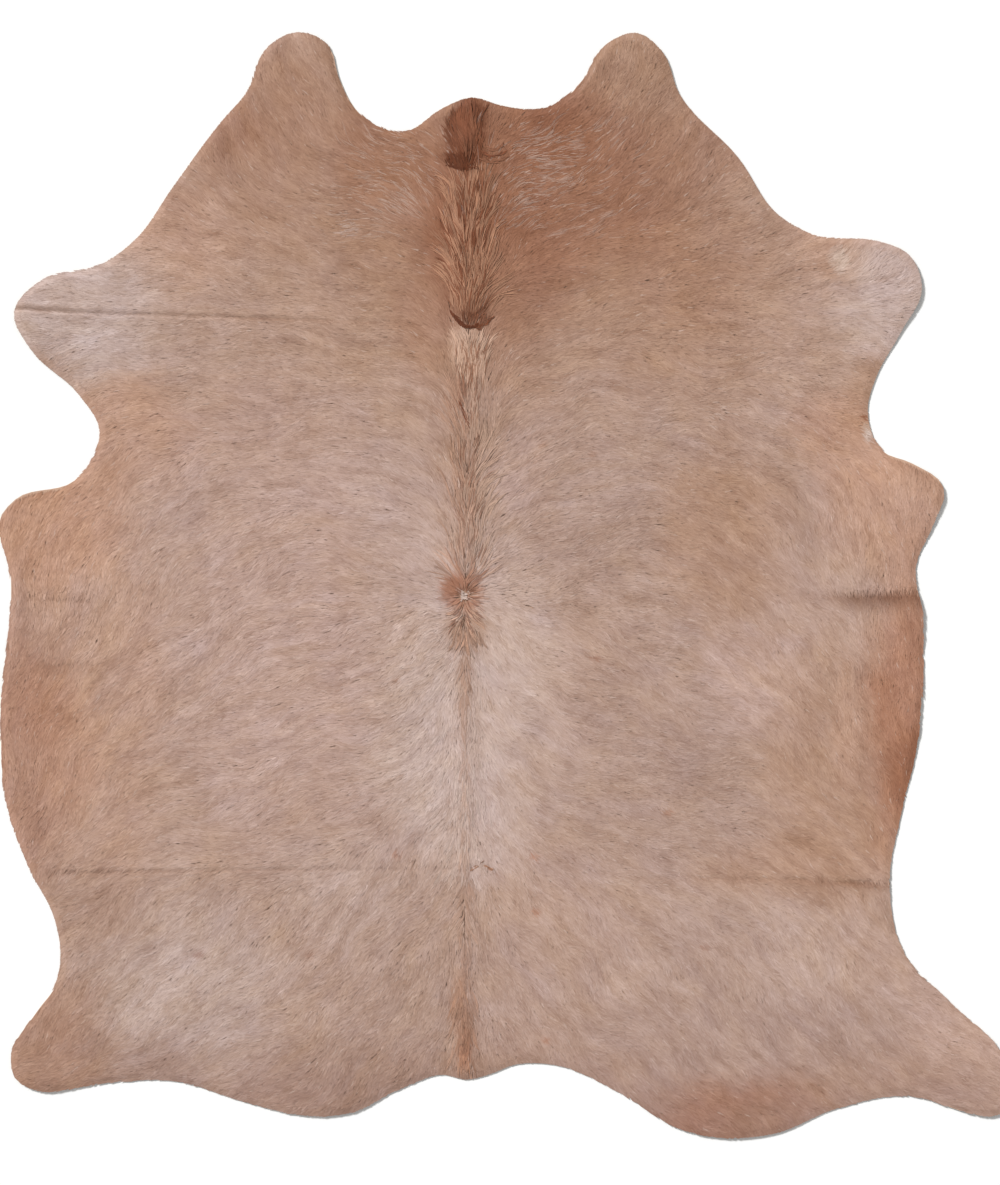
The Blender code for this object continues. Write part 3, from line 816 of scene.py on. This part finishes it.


# Mane: longer, coarser hair along the backbone, which clings together in wisps. It stands in a dark tuft at
# the nape, runs gold down the withers to a curl, and shows again round the whorl and at the tail. Grey
# wisps lie over the neck.
# Wisps: name, x, y, reach x, reach y, wisps, hairs in each, length, width, rise, hair, strength, contrast
# The rows named gaps, and the row above the curl, are painted shade: dark hairs laid in the gaps between the
# wisps and in the curl's shade
WISPS = (
    ("nape tuft", -0.078, 0.882, 0.026, 0.056, 84, 5, 0.050, 0.0017, 0.0016, "bark", 0.45, 0.13),
    ("nape tuft, lights", -0.074, 0.876, 0.014, 0.045, 22, 3, 0.050, 0.0013, 0.0020, "fox", 0.60, 0.12),
    ("nape tuft, foot", -0.088, 0.836, 0.022, 0.005, 40, 4, 0.024, 0.0016, 0.0020, "umber", 0.85, 0.12),
    ("withers mane", -0.074, 0.655, 0.036, 0.125, 170, 4, 0.072, 0.0015, 0.0011, "gold", 0.66, 0.16),
    ("withers mane, gaps", -0.074, 0.650, 0.032, 0.115, 76, 2, 0.060, 0.0013, 0.0016, "bark", 0.80, 0.12),
    ("withers mane, low", -0.070, 0.580, 0.036, 0.044, 60, 4, 0.060, 0.0014, 0.0013, "gold", 0.52, 0.15),
    ("mane, low gaps", -0.078, 0.574, 0.038, 0.040, 34, 2, 0.055, 0.0012, 0.0018, "bark", 0.75, 0.10),
    ("above the curl", -0.070, 0.520, 0.024, 0.005, 26, 4, 0.020, 0.0015, 0.0016, "bark", 0.60, 0.14),
    ("below the curl", -0.070, 0.424, 0.026, 0.046, 70, 4, 0.052, 0.0015, 0.0009, "cream", 0.72, 0.09),
    ("below the curl, gaps", -0.070, 0.424, 0.026, 0.046, 46, 2, 0.046, 0.0013, 0.0013, "fox", 0.75, 0.12),
    ("back ridge, gold", -0.090, 0.190, 0.024, 0.190, 100, 4, 0.055, 0.0015, 0.0009, "gold", 0.40, 0.11),
    ("back ridge, rose", -0.062, 0.190, 0.024, 0.190, 90, 4, 0.055, 0.0015, 0.0009, "cream", 0.45, 0.08),
    ("back ridge, gaps", -0.078, 0.190, 0.026, 0.190, 90, 2, 0.045, 0.0012, 0.0012, "fox", 0.60, 0.12),
    ("spine before the whorl", -0.080, 0.150, 0.008, 0.160, 40, 4, 0.040, 0.0019, 0.0006, "tan", 0.35, 0.10),
    ("spine after the whorl", -0.083, -0.410, 0.009, 0.370, 140, 4, 0.040, 0.0019, 0.0005, "tan", 0.30, 0.08),
    ("whorl", -0.083, -0.016, 0.026, 0.026, 22, 5, 0.022, 0.0015, 0.0004, "rust", 0.40, 0.12),
    ("whorl, gaps", -0.083, -0.012, 0.024, 0.024, 16, 2, 0.020, 0.0012, 0.0010, "bark", 0.55, 0.10),
    ("whorl eye", -0.083, -0.022, 0.003, 0.002, 8, 5, 0.005, 0.0030, 0.0004, "ivory", 0.80, 0.03),
    ("whorl foot", -0.080, -0.078, 0.026, 0.036, 36, 4, 0.030, 0.0016, 0.0010, "gold", 0.42, 0.16),
    ("whorl foot, gaps", -0.078, -0.058, 0.024, 0.020, 22, 2, 0.022, 0.0013, 0.0014, "bark", 0.60, 0.12),
    ("loin", -0.083, -0.330, 0.050, 0.230, 120, 4, 0.050, 0.0015, 0.0004, "ivory", 0.28, 0.05),
    ("tail streak", -0.086, -0.880, 0.018, 0.100, 36, 6, 0.048, 0.0016, 0.0006, "tan", 0.45, 0.14),
    ("grey, nape left", -0.190, 0.790, 0.120, 0.110, 110, 3, 0.050, 0.0010, 0.0002, "ivory", 0.32, 0.04),
    ("grey, left cluster", -0.204, 0.752, 0.036, 0.018, 16, 3, 0.042, 0.0010, 0.0004, "ivory", 0.36, 0.04),
    ("grey, nape right", 0.080, 0.800, 0.170, 0.110, 190, 3, 0.052, 0.0010, 0.0002, "ivory", 0.32, 0.04),
    ("grey, right cluster", 0.044, 0.862, 0.040, 0.028, 20, 3, 0.042, 0.0010, 0.0004, "ivory", 0.38, 0.04),
    ("grey, mane cluster", 0.014, 0.760, 0.028, 0.012, 9, 3, 0.040, 0.0010, 0.0004, "ivory", 0.38, 0.04),
    ("grey, left cheek", -0.300, 0.715, 0.022, 0.016, 14, 4, 0.026, 0.0012, 0.0002, "lilac", 0.50, 0.04),
)
WISP_SPREAD = 0.0018
WISP_STAGGER = 3.0
WISP_BUNCH = 0.5
WISP_INSET = 0.004
WISP_ROWS = 4
WISP_TURN = 0.08
WISP_CURL = 0.14
WISP_FRAY = 0.04
WISP_TONES = (0.45, 1.45)
WISP_LENGTHS = (0.75, 1.1)
WISP_WIDTHS = (0.8, 1.2)

chance = np.random.default_rng(9)
parts = {"x": [], "y": [], "length": [], "width": [], "rise": [], "turn": [], "curl": [], "colour": []}
for _, centre_x, centre_y, reach_x, reach_y, wisps, hairs, *hair_facts in WISPS:
    length, width, rise, hair, strength, contrast = hair_facts
    wisp_x = centre_x + reach_x * np.clip(WISP_BUNCH * chance.standard_normal(wisps), -1.0, 1.0)
    wisp_y = centre_y + reach_y * chance.uniform(-1.0, 1.0, wisps)
    wisp_tone = np.clip(1.0 + contrast * chance.standard_normal(wisps), *WISP_TONES)
    lock = np.repeat(np.arange(wisps), hairs)
    aside = WISP_SPREAD * chance.standard_normal(lock.size)
    ahead = WISP_STAGGER * WISP_SPREAD * chance.standard_normal(lock.size)
    along_x = sample(lie_x, wisp_x, wisp_y)[lock]
    along_y = sample(lie_y, wisp_x, wisp_y)[lock]
    x = wisp_x[lock] + ahead * along_x - aside * along_y
    y = wisp_y[lock] + ahead * along_y + aside * along_x
    turn = (WISP_TURN * chance.standard_normal(wisps))[lock] - aside / length
    curl = (WISP_CURL * chance.standard_normal(wisps))[lock]
    colour = root_colour(x, y, chance)
    colour += (np.array(srgb(HAIR_COLOURS[hair])) - colour) * strength
    kept = sample(inside, x, y) > WISP_INSET
    parts["x"].append(x[kept])
    parts["y"].append(y[kept])
    parts["length"].append((length * chance.uniform(*WISP_LENGTHS, lock.size))[kept])
    parts["width"].append((width * chance.uniform(*WISP_WIDTHS, lock.size))[kept])
    parts["rise"].append(np.full(int(kept.sum()), rise))
    parts["turn"].append((turn + WISP_FRAY * chance.standard_normal(lock.size))[kept])
    parts["curl"].append((curl + WISP_FRAY * chance.standard_normal(lock.size))[kept])
    parts["colour"].append((colour * wisp_tone[lock][:, None])[kept])
parts = {name: np.concatenate(arrays) for name, arrays in parts.items()}
mane = grow("mane", rows=WISP_ROWS, **parts)


# Curl lines: where a cowlick's hair turns under, the shade in the turn is painted as a dark line. Short dark
# hairs are
# laid along each: under the mane's curl, round the nape tuft, in the ridge's slit and over the pucker.
# Lines: name, its points, spread, hairs, hair, tone
CURL_LINES = (
    ("mane curl, left",
     ((-0.110, 0.546), (-0.098, 0.530), (-0.084, 0.518), (-0.070, 0.516), (-0.056, 0.519)),
     0.0013, 150, "umber", 1.00),
    ("mane curl, right",
     ((-0.066, 0.518), (-0.052, 0.516), (-0.040, 0.520), (-0.030, 0.532)),
     0.0020, 34, "bark", 1.05),
    ("tuft foot", ((-0.116, 0.838), (-0.094, 0.834), (-0.062, 0.835)), 0.0016, 70, "umber", 1.00),
    ("nape arc, inner",
     ((-0.054, 0.906), (-0.052, 0.890), (-0.044, 0.877), (-0.030, 0.870), (-0.016, 0.872), (-0.006, 0.880)),
     0.0012, 40, "fox", 0.95),
    ("nape arc, second",
     ((-0.062, 0.896), (-0.059, 0.878), (-0.050, 0.865), (-0.034, 0.857), (-0.016, 0.858), (-0.002, 0.867)),
     0.0012, 44, "bark", 1.05),
    ("nape arc, outer",
     ((-0.068, 0.884), (-0.064, 0.867), (-0.054, 0.854), (-0.036, 0.846), (-0.014, 0.847), (0.002, 0.855)),
     0.0014, 44, "fox", 0.90),
    ("ridge slit", ((-0.094, 0.370), (-0.086, 0.346), (-0.076, 0.320)), 0.0010, 24, "bark", 0.90),
    ("pucker", ((-0.076, -0.572), (-0.052, -0.558), (-0.030, -0.568)), 0.0020, 20, "tan", 1.06),
)
CURL_HAIR = (0.012, 0.020)
CURL_WIDTH = 0.0016
CURL_RISE = 0.0012
CURL_STRAY = 0.10
CURL_TONES = (0.7, 1.2)
CURL_LEAST_SPREAD = 0.35

parts = {"x": [], "y": [], "colour": [], "along_x": [], "along_y": []}
for _, route, spread, count, hair, tone in CURL_LINES:
    at = chance.uniform(0.0, len(route) - 1.0, count)
    leg = np.minimum(at.astype(int), len(route) - 2)
    route = np.array(route)
    along = route[leg + 1] - route[leg]
    taper = CURL_LEAST_SPREAD + np.sin(math.pi * at / (len(route) - 1))
    spot = route[leg] + along * (at - leg)[:, None]
    spot += spread * taper[:, None] * chance.standard_normal((count, 2))
    along /= np.hypot(along[:, 0], along[:, 1])[:, None]
    spot -= along * sum(CURL_HAIR) / 4
    parts["x"].append(spot[:, 0])
    parts["y"].append(spot[:, 1])
    parts["along_x"].append(along[:, 0])
    parts["along_y"].append(along[:, 1])
    shade = chance.uniform(*CURL_TONES, (count, 1))
    parts["colour"].append(np.array(srgb(HAIR_COLOURS[hair])) * tone * shade)
parts = {name: np.concatenate(arrays) for name, arrays in parts.items()}
curls = grow(
    "curl_lines", parts["x"], parts["y"],
    length=chance.uniform(*CURL_HAIR, parts["x"].size),
    width=np.full(parts["x"].size, CURL_WIDTH),
    rows=WISP_ROWS, turn=CURL_STRAY * chance.standard_normal(parts["x"].size),
    curl=CURL_STRAY * chance.standard_normal(parts["x"].size), rise=CURL_RISE,
    colour=parts["colour"], heading=(parts["along_x"], parts["along_y"]),
)


# Floor and light: a plain white studio floor, a soft sun-like lamp from the upper left, which throws the
# hide's short shadow to the right and below, and an even pale fill from all round.
FLOOR_SIZE = 80.0
FLOOR_WHITE = "#FAFAF9"
LAMP_STRENGTH = 3.6
LAMP_SOFTNESS = 10.0
LAMP_FROM = (-0.62, 0.58, 0.60)
FILL = 0.42

work = bmesh.new()
bmesh.ops.create_grid(work, x_segments=1, y_segments=1, size=FLOOR_SIZE / 2)
floor_mesh = bpy.data.meshes.new("studio_floor")
work.to_mesh(floor_mesh)
work.free()
paint = bpy.data.materials.new("matt white studio paint")
paint.use_nodes = True
tree = paint.node_tree
shader = tree.nodes["Principled BSDF"]
place = add_node(tree, "ShaderNodeTexCoord")
roller = add_node(tree, "ShaderNodeTexNoise", values={"Scale": 3.0}, links={"Vector": (place, "Object")})
rough = add_node(tree, "ShaderNodeMapRange", values={"To Min": 0.85, "To Max": 0.95},
                 links={"Value": (roller, "Fac")})
tree.links.new(rough.outputs["Result"], shader.inputs["Roughness"])
shader.inputs["Base Color"].default_value = (*srgb(FLOOR_WHITE), 1.0)
shader.inputs["Specular IOR Level"].default_value = 0.1
floor_mesh.materials.append(paint)
studio_floor = bpy.data.objects.new("studio_floor", floor_mesh)
bpy.context.scene.collection.objects.link(studio_floor)

lamp = bpy.data.lights.new("soft lamp", "SUN")
lamp.energy = LAMP_STRENGTH
lamp.angle = math.radians(LAMP_SOFTNESS)
soft_lamp = bpy.data.objects.new("soft lamp", lamp)
soft_lamp.rotation_euler = Vector(LAMP_FROM).to_track_quat("Z", "Y").to_euler()
bpy.context.scene.collection.objects.link(soft_lamp)

world = bpy.data.worlds.new("pale fill")
world.use_nodes = True
world.node_tree.nodes["Background"].inputs["Color"].default_value = (1.0, 1.0, 1.0, 1.0)
world.node_tree.nodes["Background"].inputs["Strength"].default_value = FILL
bpy.context.scene.world = world
bpy.context.scene.view_settings.view_transform = "Standard"
